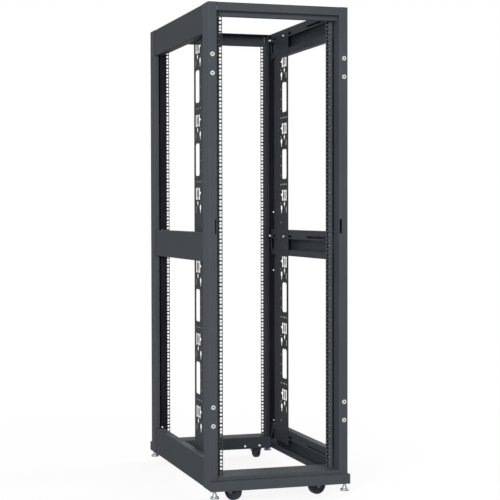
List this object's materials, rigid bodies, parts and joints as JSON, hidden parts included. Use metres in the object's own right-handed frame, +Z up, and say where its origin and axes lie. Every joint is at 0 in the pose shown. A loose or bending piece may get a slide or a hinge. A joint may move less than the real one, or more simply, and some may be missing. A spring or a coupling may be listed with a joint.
{
  "type": "open data rack frame",
  "caption": "Open four-post equipment rack frame of folded steel, with perforated mounting rails, side braces, punched accessory channels, levelling feet and casters.",
  "frame": {"origin": "on the floor, under the middle of the frame", "axes": "+X to the right seen from the front, +Y from front to rear, +Z up"},
  "size_m": [0.6, 1.07, 2.0249],
  "materials": {
    "powder_coat": "fine-textured charcoal powder coat",
    "zinc": "bright zinc plate",
    "caster_steel": "black painted steel",
    "wheel": "black hard tread"
  },
  "bodies": {
    "frame": {"front_left_post": "powder_coat", "front_right_post": "powder_coat", "rear_left_post": "powder_coat", "rear_right_post": "powder_coat", "left_hinge_bushes": "zinc", "right_hinge_bushes": "zinc", "base_left_side_member": "powder_coat", "base_right_side_member": "powder_coat", "mid_left_side_member": "powder_coat", "mid_right_side_member": "powder_coat", "top_left_side_member": "powder_coat", "top_right_side_member": "powder_coat", "front_left_mounting_rail": "powder_coat", "front_right_mounting_rail": "powder_coat", "rear_left_mounting_rail": "powder_coat", "rear_right_mounting_rail": "powder_coat", "top_front_beam": "powder_coat", "top_rear_beam": "powder_coat", "base_front_beam": "powder_coat", "base_rear_beam": "powder_coat", "left_accessory_channel": "powder_coat", "right_accessory_channel": "powder_coat", "front_left_caster_plate": "caster_steel", "front_right_caster_plate": "caster_steel", "rear_left_caster_fork": "caster_steel", "rear_right_caster_fork": "caster_steel"},
    "front_left_caster": {"front_left_caster_fork": "caster_steel"},
    "front_left_wheel": {"front_left_caster_wheel": "wheel"},
    "rear_left_wheel": {"rear_left_caster_wheel": "wheel"},
    "front_right_caster": {"front_right_caster_fork": "caster_steel"},
    "front_right_wheel": {"front_right_caster_wheel": "wheel"},
    "rear_right_wheel": {"rear_right_caster_wheel": "wheel"},
    "front_left_foot": {"front_left_levelling_foot": "zinc"},
    "front_right_foot": {"front_right_levelling_foot": "zinc"},
    "rear_left_foot": {"rear_left_levelling_foot": "zinc"},
    "rear_right_foot": {"rear_right_levelling_foot": "zinc"}
  },
  "joints": [
    {"name": "front_left_caster_swivel", "type": "hinge", "parent": "frame", "child": "front_left_caster", "pos_m": [-0.202, -0.452, 0.095], "axis": [0, 0, 1], "continuous": true},
    {"name": "front_left_wheel_spin", "type": "hinge", "parent": "front_left_caster", "child": "front_left_wheel", "pos_m": [-0.18846, -0.46934, 0.0375], "axis": [-0.788, -0.6157, 0], "continuous": true},
    {"name": "rear_left_wheel_spin", "type": "hinge", "parent": "frame", "child": "rear_left_wheel", "pos_m": [-0.202, 0.455, 0.0375], "axis": [1, 0, 0], "continuous": true},
    {"name": "front_right_caster_swivel", "type": "hinge", "parent": "frame", "child": "front_right_caster", "pos_m": [0.202, -0.452, 0.095], "axis": [0, 0, 1], "continuous": true},
    {"name": "front_right_wheel_spin", "type": "hinge", "parent": "front_right_caster", "child": "front_right_wheel", "pos_m": [0.18021, -0.45506, 0.0375], "axis": [-0.1392, 0.9903, 0], "continuous": true},
    {"name": "rear_right_wheel_spin", "type": "hinge", "parent": "frame", "child": "rear_right_wheel", "pos_m": [0.202, 0.455, 0.0375], "axis": [1, 0, 0], "continuous": true},
    {"name": "front_left_foot_screw", "type": "slide", "parent": "frame", "child": "front_left_foot", "axis": [0, 0, 1], "range_m": [-0.02, 0.004]},
    {"name": "front_right_foot_screw", "type": "slide", "parent": "frame", "child": "front_right_foot", "axis": [0, 0, 1], "range_m": [-0.02, 0.004]},
    {"name": "rear_left_foot_screw", "type": "slide", "parent": "frame", "child": "rear_left_foot", "axis": [0, 0, 1], "range_m": [-0.02, 0.004]},
    {"name": "rear_right_foot_screw", "type": "slide", "parent": "frame", "child": "rear_right_foot", "axis": [0, 0, 1], "range_m": [-0.02, 0.004]}
  ]
}
